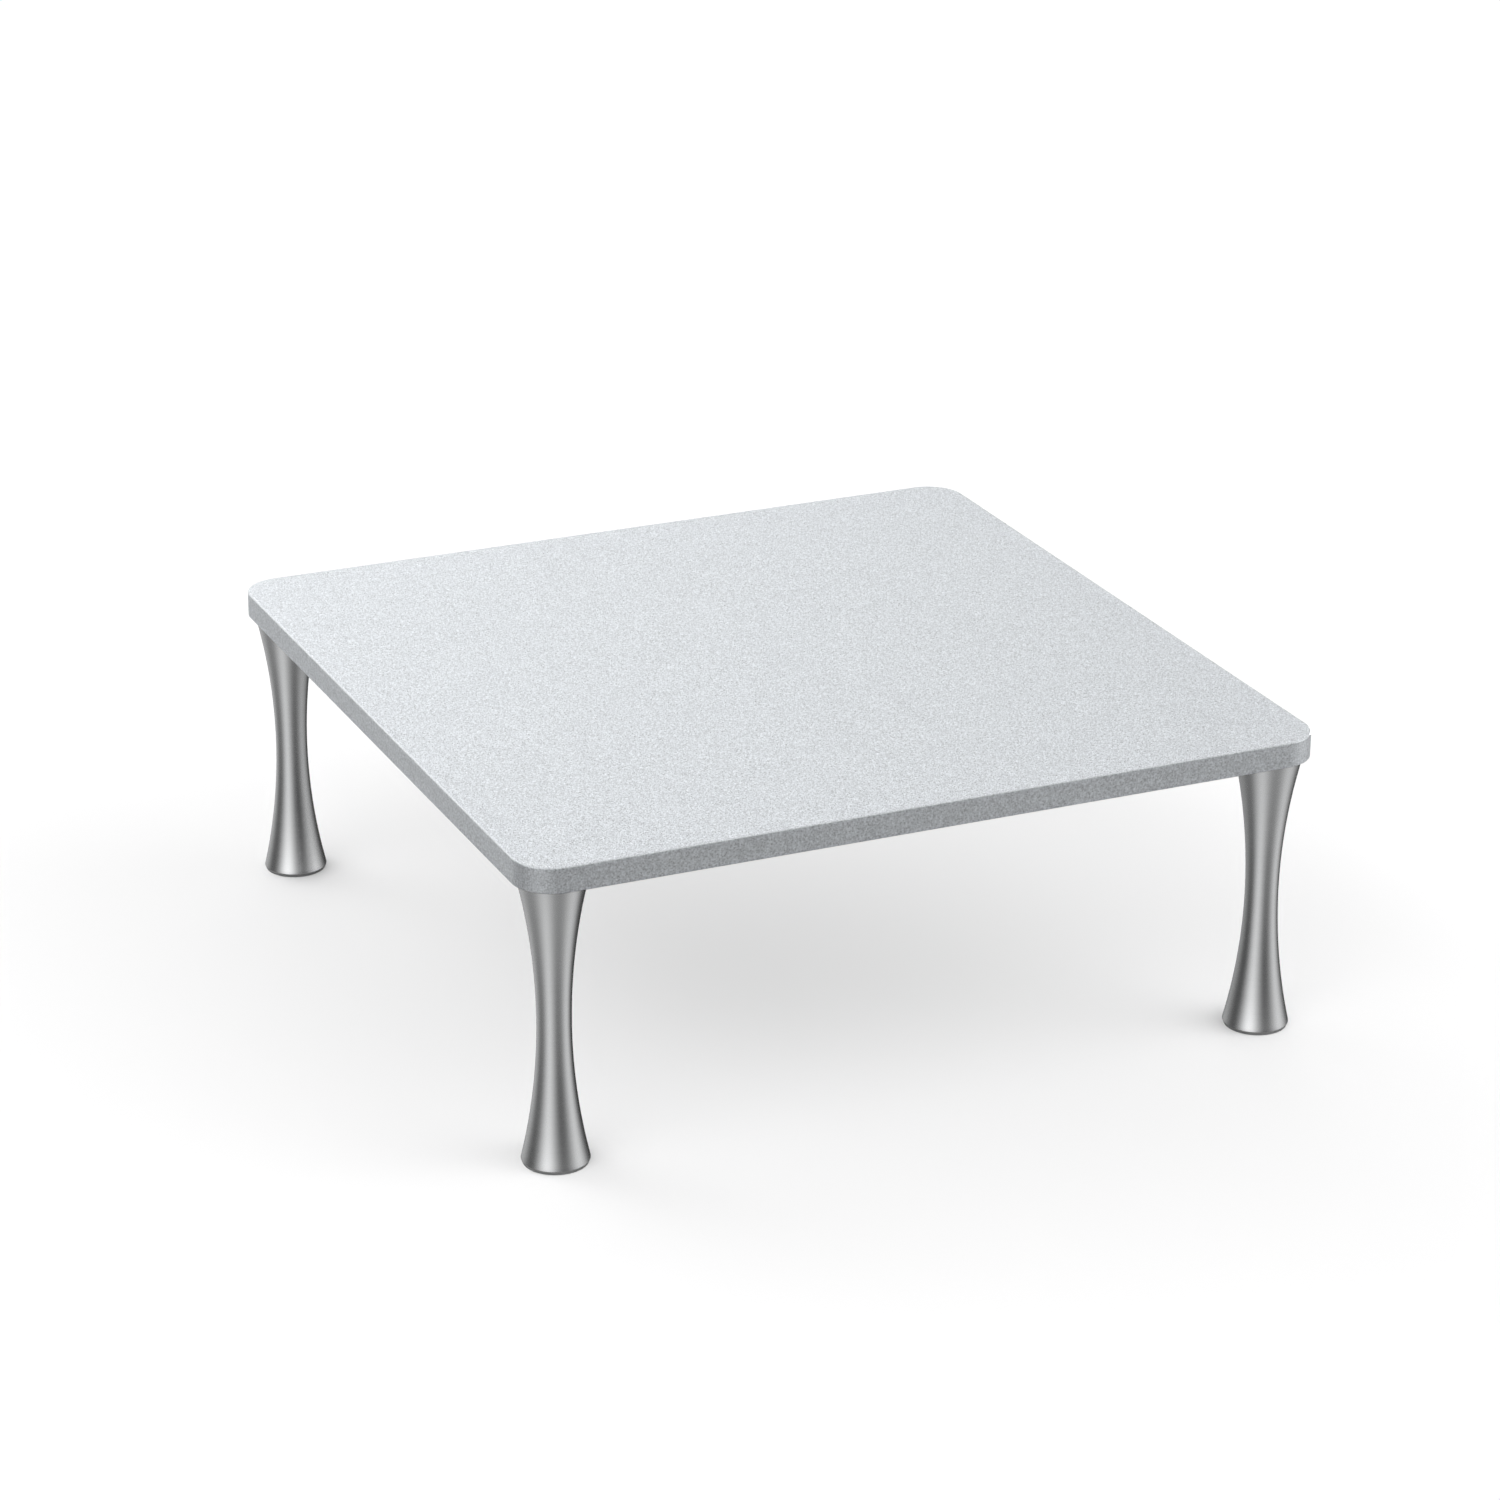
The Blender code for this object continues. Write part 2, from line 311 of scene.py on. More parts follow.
def zinc_steel():
    material, tree, shader = new_material("zinc_steel")
    where = node(tree, "ShaderNodeTexCoord").outputs["Object"]
    fine = noise(tree, where, 1800.0, 2.0, 0.6)
    slow = noise(tree, where, 320.0, 1.0, 0.5)
    factor = math_node(tree, "MULTIPLY", spread(tree, fine, 0.25), spread(tree, slow, 0.20))
    put(tree, shader.inputs["Base Color"], tinted(tree, (0.50, 0.52, 0.55), factor))
    put(tree, shader.inputs["Roughness"], math_node(tree, "MULTIPLY_ADD", slow, 0.25, 0.22))
    shader.inputs["Metallic"].default_value = 1.0
    return material


def insert_brass():
    material, tree, shader = new_material("insert_brass")
    where = node(tree, "ShaderNodeTexCoord").outputs["Object"]
    fine = noise(tree, where, 1600.0, 2.0, 0.6)
    slow = noise(tree, where, 260.0, 1.0, 0.5)
    factor = math_node(tree, "MULTIPLY", spread(tree, fine, 0.20), spread(tree, slow, 0.25))
    put(tree, shader.inputs["Base Color"], tinted(tree, (0.80, 0.60, 0.28), factor))
    put(tree, shader.inputs["Roughness"], math_node(tree, "MULTIPLY_ADD", slow, 0.25, 0.20))
    shader.inputs["Metallic"].default_value = 1.0
    return material


def nylon():
    material, tree, shader = new_material("nylon")
    where = node(tree, "ShaderNodeTexCoord").outputs["Object"]
    fine = noise(tree, where, 2200.0, 2.0, 0.6)
    slow = noise(tree, where, 280.0, 1.0, 0.5)
    factor = math_node(tree, "MULTIPLY", spread(tree, fine, 0.30), spread(tree, slow, 0.20))
    put(tree, shader.inputs["Base Color"], tinted(tree, (0.62, 0.615, 0.60), factor))
    put(tree, shader.inputs["Roughness"], math_node(tree, "MULTIPLY_ADD", fine, 0.20, 0.42))
    bump = node(tree, "ShaderNodeBump")
    bump.inputs["Strength"].default_value = 0.3
    bump.inputs["Distance"].default_value = 0.00003
    put(tree, bump.inputs["Height"], fine)
    put(tree, shader.inputs["Normal"], bump.outputs["Normal"])
    return material


def rubber():
    material, tree, shader = new_material("pad_rubber")
    where = node(tree, "ShaderNodeTexCoord").outputs["Object"]
    fine = noise(tree, where, 1700.0, 2.0, 0.65)
    slow = noise(tree, where, 180.0, 2.0, 0.5)
    factor = math_node(tree, "MULTIPLY", spread(tree, fine, 0.50), spread(tree, slow, 0.35))
    put(tree, shader.inputs["Base Color"], tinted(tree, (0.030, 0.030, 0.032), factor))
    put(tree, shader.inputs["Roughness"], math_node(tree, "MULTIPLY_ADD", slow, 0.20, 0.66))
    bump = node(tree, "ShaderNodeBump")
    bump.inputs["Strength"].default_value = 0.5
    bump.inputs["Distance"].default_value = 0.00006
    put(tree, bump.inputs["Height"], fine)
    put(tree, shader.inputs["Normal"], bump.outputs["Normal"])
    return material


PLATE_FINISH = blasted_aluminium()
LEG_FINISH = satin_steel()
STUD_FINISH = zinc_steel()
INSERT_FINISH = insert_brass()
WASHER_FINISH = nylon()
PAD_FINISH = rubber()


# ------------------------------------------------------------- plate
def plate():
    """Rounded square slab with rounded edges and four blind pockets in its underside."""
    corner_steps, round_steps, pocket_steps = 24, 8, 48
    half = SIDE / 2.0 - CORNER_RADIUS
    outline = []                                   # centre of the corner and direction, anticlockwise
    for sx, sy, start in ((1, 1, 0), (-1, 1, 90), (-1, -1, 180), (1, -1, 270)):
        for i in range(corner_steps + 1):
            a = math.radians(start + 90.0 * i / corner_steps)
            outline.append((sx * half, sy * half, math.cos(a), math.sin(a)))
    count = len(outline)
    rows = []                                      # (offset inwards, z, normal out, normal up), top to bottom
    for i in range(round_steps + 1):
        t = math.radians(90.0 - 90.0 * i / round_steps)
        rows.append((EDGE_ROUND * (1.0 - math.cos(t)), TOP - EDGE_ROUND * (1.0 - math.sin(t)), math.cos(t), math.sin(t)))
    for i in range(round_steps + 1):
        t = math.radians(-90.0 * i / round_steps)
        rows.append((UNDER_ROUND * (1.0 - math.cos(t)), UNDER + UNDER_ROUND * (1.0 + math.sin(t)), math.cos(t), math.sin(t)))
    verts, faces, normals, uvs = [], [], [], []
    along = [0.0]
    for i in range(count):
        p, q = outline[i], outline[(i + 1) % count]
        dx = (q[0] + CORNER_RADIUS * q[2]) - (p[0] + CORNER_RADIUS * p[2])
        dy = (q[1] + CORNER_RADIUS * q[3]) - (p[1] + CORNER_RADIUS * p[3])
        along.append(along[-1] + math.hypot(dx, dy))
    down = [0.0]
    for r0, r1 in zip(rows, rows[1:]):
        down.append(down[-1] + math.hypot(r1[0] - r0[0], r1[1] - r0[1]))
    for inwards, z, _, _ in rows:
        for cx, cy, c, s in outline:
            r = CORNER_RADIUS - inwards
            verts.append((cx + r * c, cy + r * s, z))
    top_share = 0.70                               # of the bake map's side
    side_len = along[-1] / 4.0
    strip = 0.05

    def side_uv(i, j_length):
        quarter_index = min(3, int(along_mid // side_len)) if side_len else 0
        u = (j_length - quarter_index * side_len) / side_len
        return (0.01 + (top_share - 0.02) * u, 0.02 + quarter_index * (strip + 0.01) + strip * (1.0 - down[i] / down[-1]))

    for i in range(len(rows) - 1):
        for j in range(count):
            j2 = (j + 1) % count
            along_mid = (along[j] + along[j + 1]) / 2.0
            faces.append((i * count + j, (i + 1) * count + j, (i + 1) * count + j2, i * count + j2))
            for row, col, length in ((i, j, along[j]), (i + 1, j, along[j]), (i + 1, j2, along[j + 1]), (i, j2, along[j + 1])):
                _, _, out, up = rows[row]
                normals.append((outline[col][2] * out, outline[col][3] * out, up))
                uvs.append(side_uv(row, length))

    def top_uv(x, y):
        return (top_share * (x / SIDE + 0.5), 1.0 - top_share + top_share * (y / SIDE + 0.5))

    def under_uv(x, y):
        low, size = top_share + 0.01, 1.0 - top_share - 0.02
        return (low + size * (x / SIDE + 0.5), low + size * (y / SIDE + 0.5))

    faces.append(tuple(range(count)))
    for j in range(count):
        normals.append((0.0, 0.0, 1.0))
        uvs.append(top_uv(verts[j][0], verts[j][1]))

    # the underside with its four holes
    last = (len(rows) - 1) * count
    loops = [[Vector(verts[last + j]) for j in range(count)]]
    index = [last + j for j in range(count)]
    mouth = 0.0004
    pockets = []
    for corner in CORNERS:
        cx, cy = AXIS[corner]
        profile = [(POCKET_RADIUS + mouth, UNDER, 0), (POCKET_RADIUS, UNDER + mouth, 1), (POCKET_RADIUS, POCKET_TOP, 2)]
        rings = []
        for r, z, _ in profile:
            ring = []
            for k in range(pocket_steps):
                a = 2.0 * math.pi * k / pocket_steps
                ring.append(len(verts))
                verts.append((cx + r * math.cos(a), cy + r * math.sin(a), z))
            rings.append(ring)
        tip = len(verts)
        verts.append((cx, cy, POCKET_TOP))
        pockets.append((cx, cy, rings, tip))
        loops.append([Vector(verts[v]) for v in reversed(rings[0])])
        index += list(reversed(rings[0]))
    flat = [v for loop in loops for v in loop]
    for a, b, c in tessellate_polygon(loops):
        pa, pb, pc = flat[a], flat[b], flat[c]
        cross = (pb - pa).cross(pc - pa).z
        if abs(cross) < 1e-14:
            continue
        tri = (a, b, c) if cross < 0.0 else (a, c, b)     # the underside faces down
        faces.append(tuple(index[t] for t in tri))
        for t in tri:
            normals.append((0.0, 0.0, -1.0))
            uvs.append(under_uv(flat[t].x, flat[t].y))
    for n_pocket, (cx, cy, rings, tip) in enumerate(pockets):
        low_u = top_share + 0.02 + 0.14 * (n_pocket % 2)
        low_v = 0.05 + 0.30 * (n_pocket // 2)
        for part in range(2):
            for k in range(pocket_steps):
                k2 = (k + 1) % pocket_steps
                a0, a1 = 2.0 * math.pi * k / pocket_steps, 2.0 * math.pi * (k + 1) / pocket_steps
                faces.append((rings[part][k], rings[part + 1][k], rings[part + 1][k2], rings[part][k2]))
                for angle, step in ((a0, 0), (a0, 1), (a1, 1), (a1, 0)):
                    if part == 0:
                        normals.append((-math.cos(angle) * 0.7071, -math.sin(angle) * 0.7071, -0.7071))
                    else:
                        normals.append((-math.cos(angle), -math.sin(angle), 0.0))
                    uvs.append((low_u + 0.12 * angle / (2.0 * math.pi), low_v + 0.10 * (part + step)))
        for k in range(pocket_steps):
            k2 = (k + 1) % pocket_steps
            faces.append((rings[2][k], tip, rings[2][k2]))
            for angle, r in ((2.0 * math.pi * k / pocket_steps, 1.0), (0.0, 0.0), (2.0 * math.pi * (k + 1) / pocket_steps, 1.0)):
                normals.append((0.0, 0.0, -1.0))
                uvs.append((low_u + 0.06 + 0.035 * r * math.cos(angle), low_v + 0.245 + 0.035 * r * math.sin(angle)))
    obj = mesh_object("plate_blasted", verts, faces, normals, uvs)
    obj.data.materials.append(PLATE_FINISH)
    return obj


top = plate()
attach(top, "top")
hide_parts("top_plate")


# ------------------------------------------------------------- legs
def leg(corner):
    """Solid waisted turning: bored at the top for the set screw, recessed under the foot for the pad."""
    bore = STUD_RADIUS + 0.00015
    bore_bottom = stud_low.z - 0.0004
    chamfer = 0.0002
    # the outside runs from the foot to the top
    rim_outer = leg_radius(LEG_BOTTOM + RIM_HEIGHT)
    profile = [(0.0, RECESS_TOP), (RECESS_RADIUS, RECESS_TOP), (RECESS_RADIUS, LEG_BOTTOM + 0.0002), (RECESS_RADIUS + 0.0002, LEG_BOTTOM)]
    hidden = len(profile) - 1
    taper = math.degrees(math.atan2(RIM_INSET, RIM_HEIGHT))
    flare = math.degrees(math.asin((WAIST_Z - LEG_BOTTOM - RIM_HEIGHT) / ARC_RADIUS))
    profile += rounded((rim_outer - RIM_INSET, LEG_BOTTOM), -90.0, -taper, 0.0002, 4)
    profile += rounded((rim_outer, LEG_BOTTOM + RIM_HEIGHT), -taper, flare, 0.0002, 5)
    outer_first = len(profile) - 1
    steps = 84
    z0, z1 = profile[-1][1], LEG_TOP - chamfer
    for i in range(1, steps + 1):
        z = z0 + (z1 - z0) * i / steps
        profile.append((leg_radius(z), z))
    outer_last = len(profile) - 1
    profile.append((leg_radius(LEG_TOP) - chamfer, LEG_TOP))
    profile.append((bore + 0.0004, LEG_TOP))
    profile.append((bore, LEG_TOP - 0.0004))
    profile.append((bore, bore_bottom))
    profile.append((0.0, bore_bottom - 0.0012))
    end = len(profile) - 1
    spans = [(0, hidden, 0.0, 0.05), (hidden, outer_first, 0.05, 0.09), (outer_first, outer_last, 0.09, 0.93), (outer_last, end, 0.93, 1.0)]
    x, y = AXIS[corner]
    obj = turned("leg_" + corner + "_turned", profile, 128, (x, y, 0.0), marks(profile, spans))
    obj.data.materials.append(LEG_FINISH)
    return obj


# ------------------------------------------------------------- set screws
def thread_depth_at(angle, z):
    """0 on the crest, 1 at the root of a right-hand thread, with small flats."""
    turn = (z / PITCH - angle / (2.0 * math.pi)) % 1.0
    away = abs(turn - 0.5) * 2.0                   # 0 in the middle of the groove, 1 on the crest
    return min(1.0, max(0.0, (0.875 - away) / 0.75))


def stud(corner):
    segments = 36
    rows_per_pitch = 10
    z0, z1 = stud_low.z, stud_high.z
    chamfer = 0.0005
    steps = int(round((z1 - z0) / PITCH * rows_per_pitch))
    profile = [(0.0, z0), (STUD_RADIUS - THREAD_DEPTH - 0.0001, z0)]
    first = len(profile)
    for i in range(steps + 1):
        z = z0 + (z1 - z0) * i / steps
        profile.append((STUD_RADIUS, z))
    last = len(profile) - 1
    socket = 0.0015
    depth = 0.0025
    profile.append((socket + 0.00025, z1))
    profile.append((socket, z1 - 0.0002))
    profile.append((socket, z1 - depth))
    profile.append((0.0, z1 - depth - 0.0007))

    def shape(i, a, r, z):
        if first <= i <= last:
            deep = STUD_RADIUS - THREAD_DEPTH * thread_depth_at(a, z)
            end = min(z - z0, z1 - z)
            return min(deep, STUD_RADIUS - THREAD_DEPTH - 0.00005 + end * 1.2)
        if i >= last + 2 and i < len(profile) - 1:
            turn = (a + math.pi / 6.0) % (math.pi / 3.0) - math.pi / 6.0
            return r / math.cos(turn)
        if i == last + 1:
            turn = (a + math.pi / 6.0) % (math.pi / 3.0) - math.pi / 6.0
            return r / math.cos(turn)
        return r

    spans = [(0, first, 0.0, 0.03), (first, last, 0.03, 0.85), (last, len(profile) - 1, 0.85, 1.0)]
    x, y = AXIS[corner]
    obj = turned("set_screw_" + corner, profile, segments, (x, y, 0.0), marks(profile, spans), shape, 40.0)
    obj.data.materials.append(STUD_FINISH)
    return obj


# ------------------------------------------------------------- threaded inserts
def insert(corner):
    """Brass sleeve with a knurled outside, two grooves and an inside thread."""
    segments = 48
    z0, z1 = insert_low.z, insert_high.z
    bore = STUD_RADIUS + 0.00012
    rows = 10
    inner_steps = int(round((z1 - z0) / PITCH * rows))
    outer = [(INSERT_RADIUS - 0.0003, z0), (INSERT_RADIUS, z0 + 0.0003)]
    groove, grooves = 0.00035, ((0.0020, 0.0028), (0.0044, 0.0052))
    z = 0.0003
    for g0, g1 in grooves:
        outer += [(INSERT_RADIUS, z0 + z + (g0 - z) * k / 4.0) for k in range(1, 5)]
        outer += [(INSERT_RADIUS - groove, z0 + g0 + 0.00015), (INSERT_RADIUS - groove, z0 + g1 - 0.00015), (INSERT_RADIUS, z0 + g1)]
        z = g1
    length = z1 - z0
    outer += [(INSERT_RADIUS, z0 + z + (length - 0.0003 - z) * k / 4.0) for k in range(1, 5)]
    outer.append((INSERT_RADIUS - 0.0003, z1))
    inner = [(bore, z1 - (z1 - z0) * i / inner_steps) for i in range(inner_steps + 1)]
    profile = outer + inner
    n_outer = len(outer)

    def shape(i, a, r, z):
        if i >= n_outer:
            deep = bore - THREAD_DEPTH * thread_depth_at(a, z)
            end = min(z - z0, z1 - z)
            return max(deep, bore + 0.00005 - end * 1.2)
        if r > INSERT_RADIUS - 1e-7:
            return r - 0.00010 * (int(round(a / (2.0 * math.pi / segments))) % 2)
        return r

    spans = [(0, n_outer - 1, 0.0, 0.45), (n_outer - 1, len(profile) - 1, 0.45, 1.0)]
    x, y = AXIS[corner]
    obj = turned_ring("insert_" + corner + "_threaded", profile, segments, (x, y, 0.0), marks(profile, spans), shape, 25.0)
    obj.data.materials.append(INSERT_FINISH)
    return obj


def turned_ring(name, profile, segments, location, v_marks, radial=None, smooth_deg=32.0):
    """Like turned(), for a ring: the profile is a closed loop that doesn't reach the axis."""
    n = len(profile)
    verts = []
    for i, (r, z) in enumerate(profile):
        for k in range(segments):
            a = 2.0 * math.pi * k / segments
            rr = radial(i, a, r, z) if radial else r
            verts.append((rr * math.cos(a), rr * math.sin(a), z))
    faces, uvs = [], []
    for i in range(n):
        i2 = (i + 1) % n
        va, vb = v_marks[i], (v_marks[i2] if i2 else 1.0)
        if not i2:
            va = 0.985
        for k in range(segments):
            k2 = (k + 1) % segments
            u0, u1 = k / segments, (k + 1) / segments
            faces.append((i * segments + k, i * segments + k2, i2 * segments + k2, i2 * segments + k))
            uvs += [(u0, va), (u1, va), (u1, vb), (u0, vb)]
    obj = mesh_object(name, verts, faces, None, [(0.004 + 0.992 * u, 0.004 + 0.980 * v) for u, v in uvs], location)
    obj.data.set_sharp_from_angle(angle=math.radians(smooth_deg))
    return obj


# ------------------------------------------------------------- washers and foot pads
def washer(corner):
    """Moulded nylon washer that fills the joint between leg and plate."""
    low, high = LEG_TOP + 0.00005, UNDER - 0.00005
    outer, hole, edge = (washer_high.x - washer_low.x) / 2.0, 0.0033, 0.00015
    profile = quarter(outer - edge, low + edge, edge, -90.0, 0.0, 4) + quarter(outer - edge, high - edge, edge, 0.0, 90.0, 4)
    profile += [(hole + 0.0001, high), (hole, high - 0.0001), (hole, low + 0.0001), (hole + 0.0001, low)]
    spans = [(0, len(profile) - 1, 0.0, 0.97)]
    x, y = AXIS[corner]
    obj = turned_ring("washer_" + corner + "_nylon", profile, 96, (x, y, 0.0), marks(profile, spans))
    obj.data.materials.append(WASHER_FINISH)
    return obj


def foot_pad(corner):
    """Moulded rubber disc with two shallow rings in its sole."""
    z0, z1 = pad_low.z, pad_high.z
    profile = [(0.0, z0 + 0.00025), (0.0012, z0 + 0.00025), (0.0016, z0)]
    for r in (0.0034, 0.0060):
        profile += [(r, z0), (r + 0.00025, z0 + 0.00022), (r + 0.00065, z0 + 0.00022), (r + 0.0009, z0)]
    profile += quarter(PAD_RADIUS - 0.0003, z0 + 0.0003, 0.0003, -90.0, 0.0, 4)
    profile += quarter(PAD_RADIUS - 0.0003, z1 - 0.0003, 0.0003, 0.0, 90.0, 4)
    profile += [(0.0, z1)]
    spans = [(0, len(profile) - 1, 0.0, 1.0)]
    x, y = AXIS[corner]
    obj = turned("foot_pad_" + corner + "_rubber", profile, 64, (x, y, 0.0), marks(profile, spans))
    obj.data.materials.append(PAD_FINISH)
    return obj


for corner in CORNERS:
    for make, body, node_name, slot_name in (
        (leg, "leg_body_" + corner, "leg_" + corner, "leg"),
        (stud, "leg_body_" + corner, "stud_" + corner, "stud"),
        (foot_pad, "leg_body_" + corner, "foot_pad_" + corner, "pad"),
        (washer, "washer_body_" + corner, "washer_" + corner, "washer"),
        (insert, "top", "insert_" + corner, "insert"),
    ):
        piece = make(corner)
        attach(piece, body)
        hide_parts(node_name)


# ------------------------------------------------------------- floor
FLOOR_GLOW = 0.432
FLOOR_ALBEDO = 0.64
# painted shade: darker floor discs round the feet, shown only in the rims' reflections
NEAR_SHADE_ALBEDO, NEAR_REACH = 0.34, 0.0020
CONTACT_ALL, CONTACT_INNER, CONTACT_FADE = 0.060, 0.20, 0.0050   # painted contact shadow: soft dark rings round the feet, darker under the plate


def painted_contact_shade(tree, where):
    """Painted contact shadow: 1 on the open floor, less close to each foot."""
    clear = 1.0
    for corner in CORNERS:
        x, y = AXIS[corner]
        offset = node(tree, "ShaderNodeVectorMath", operation="SUBTRACT")
        put(tree, offset.inputs[0], where)
        offset.inputs[1].default_value = (x, y, 0.0)
        length = node(tree, "ShaderNodeVectorMath", operation="LENGTH")
        put(tree, length.inputs[0], offset.outputs[0])
        away = length.outputs["Value"]
        dot = node(tree, "ShaderNodeVectorMath", operation="DOT_PRODUCT")
        put(tree, dot.inputs[0], offset.outputs[0])
        dot.inputs[1].default_value = (-x / math.hypot(x, y), -y / math.hypot(x, y), 0.0)
        inner = math_node(tree, "DIVIDE", dot.outputs["Value"], math_node(tree, "MAXIMUM", away, 0.001))
        inner = math_node(tree, "MULTIPLY_ADD", inner, 0.5, 0.5, clamp=True)
        near = math_node(tree, "MULTIPLY", math_node(tree, "SUBTRACT", END_RADIUS, away), 1.0 / CONTACT_FADE)
        near = math_node(tree, "EXPONENT", math_node(tree, "MINIMUM", near, 0.0))
        depth = math_node(tree, "MULTIPLY_ADD", math_node(tree, "MULTIPLY", inner, inner), CONTACT_INNER, CONTACT_ALL)
        clear = math_node(tree, "SUBTRACT", clear, math_node(tree, "MULTIPLY", near, depth), clamp=True)
    return clear


def floor():
    """Plain white sweep. It only catches shadows: the metal sees the studio's panels beneath the horizon instead."""
    material, tree, shader = new_material("floor_white")
    where = node(tree, "ShaderNodeTexCoord").outputs["Object"]
    soft = noise(tree, where, 6.0, 2.0, 0.5)
    # painted contact shadow: it dims both the floor's colour and its glow round the feet, more on the side under the
    # plate
    painted_contact_factor = painted_contact_shade(tree, where)
    put(tree, shader.inputs["Base Color"], tinted(tree, (FLOOR_ALBEDO,) * 3, math_node(tree, "MULTIPLY", spread(tree, soft, 0.01), painted_contact_factor)))
    shader.inputs["Roughness"].default_value = 1.0
    shader.inputs["Specular IOR Level"].default_value = 0.0
    shader.inputs["Emission Color"].default_value = (1.0, 1.0, 1.0, 1.0)
    put(tree, shader.inputs["Emission Strength"], math_node(tree, "MULTIPLY", painted_contact_factor, FLOOR_GLOW))
    material.cycles.emission_sampling = "NONE"
    mesh = bpy.data.meshes.new("floor")
    s = 9.0
    mesh.from_pydata([(-s, -s, 0.0), (s, -s, 0.0), (s, s, 0.0), (-s, s, 0.0)], [], [(0, 1, 2, 3)])
    obj = bpy.data.objects.new("floor", mesh)
    obj.data.materials.append(material)
    scene.collection.objects.link(obj)
    obj.visible_glossy = False
    obj.visible_diffuse = False
    return obj


floor()


def painted_foot_shade_discs():
    """Painted shade under each foot for the polished rims to reflect: darker discs of floor, with less albedo and no
    glow, that only reflections show; the leg's real occlusion darkens them further.
    """
    material, tree, shader = new_material("floor_painted_foot_shade")
    where = node(tree, "ShaderNodeTexCoord").outputs["Object"]
    soft = noise(tree, where, 6.0, 2.0, 0.5)
    put(tree, shader.inputs["Base Color"], tinted(tree, (NEAR_SHADE_ALBEDO,) * 3, spread(tree, soft, 0.01)))
    shader.inputs["Roughness"].default_value = 1.0
    shader.inputs["Specular IOR Level"].default_value = 0.0
    count, reach = 48, END_RADIUS + NEAR_REACH
    for corner in CORNERS:
        mesh = bpy.data.meshes.new("floor_painted_foot_shade_" + corner)
        mesh.from_pydata([(reach * math.cos(2.0 * math.pi * k / count), reach * math.sin(2.0 * math.pi * k / count), 0.0)
                          for k in range(count)], [], [tuple(range(count))])
        obj = bpy.data.objects.new("floor_painted_foot_shade_" + corner, mesh)
        obj.location = (AXIS[corner][0], AXIS[corner][1], 0.00002)
        obj.data.materials.append(material)
        scene.collection.objects.link(obj)
        obj.visible_camera = False
        obj.visible_diffuse = False
        obj.visible_shadow = False


painted_foot_shade_discs()

SHADE_DEPTH, SHADE_SPAN = 0.36, (0.09, 0.17)


def shaded_floor():
    """The plate's own shade on the floor, as the legs see it: a sheet that dims what reflections find under the plate."""
    material = bpy.data.materials.new("floor_shade")
    material.use_nodes = True
    tree = material.node_tree
    tree.nodes.clear()
    out = node(tree, "ShaderNodeOutputMaterial")
    clear = node(tree, "ShaderNodeBsdfTransparent")
    put(tree, out.inputs["Surface"], clear.outputs[0])
    parts = node(tree, "ShaderNodeSeparateXYZ")
    put(tree, parts.inputs[0], node(tree, "ShaderNodeTexCoord").outputs["Object"])
    inside = []
    for axis in range(2):
        made = node(tree, "ShaderNodeMapRange", interpolation_type="SMOOTHSTEP")
        put(tree, made.inputs["Value"], math_node(tree, "ABSOLUTE", parts.outputs[axis]))
        made.inputs["From Min"].default_value, made.inputs["From Max"].default_value = SHADE_SPAN
        made.inputs["To Min"].default_value, made.inputs["To Max"].default_value = 1.0, 0.0
        inside.append(made.outputs[0])
    shade = math_node(tree, "MULTIPLY_ADD", math_node(tree, "MULTIPLY", *inside), -SHADE_DEPTH, 1.0)
    put(tree, clear.inputs["Color"], tinted(tree, (1.0, 1.0, 1.0), shade))
    mesh = bpy.data.meshes.new("floor_shade")
    s = SHADE_SPAN[1]
    mesh.from_pydata([(-s, -s, 0.0), (s, -s, 0.0), (s, s, 0.0), (-s, s, 0.0)], [], [(0, 1, 2, 3)])
    obj = bpy.data.objects.new("floor_shade", mesh)
    obj.location.z = 0.00001
    obj.data.materials.append(material)
    scene.collection.objects.link(obj)
    obj.visible_camera = False
    obj.visible_diffuse = False
    obj.visible_shadow = False


shaded_floor()


# ------------------------------------------------------------- light
# tall soft panels round the object: compass direction (0 is +Y, 90 is +X), tightness, strength
PANELS = ((-128.3, 12.0, 0.893), (115.0, 11.2, 0.830), (-15.0, 10.9, 0.553))
PANEL_GAIN, PANEL_GAIN_FROM = 1.7, (-0.07, 0.13)  # they are brighter above the horizon than in the floor's sheen
FLOOR_HAZE, FLOOR_HAZE_LEVEL, HAZE_FROM = 0.772, 0.67, 0.118   # downwards they fade to this level
HAZE_GAP = (45.0, 5.0, 0.75)                       # and there is less haze this way
PIT_LEVEL, PIT_FROM = 0.03, (-0.93, -0.79)         # straight down it is dark
CEILING, CEILING_FROM = 1.12, (0.0, 0.50)
# the same panels as matt surfaces see them: direction, tightness, strength, middle height, half height
SOFT_PANELS = ((120.6, 12.7, 4.21, 0.013, 0.715), (-123.6, 7.0, 3.58, 0.689, 0.150),
               (-33.8, 31.8, 8.23, 0.235, 0.150), (5.0, 5.4, 1.78, 0.478, 0.388))
ROOM_TOP = 0.165
ROOM_BELOW = 0.15
WHITE = 1.0


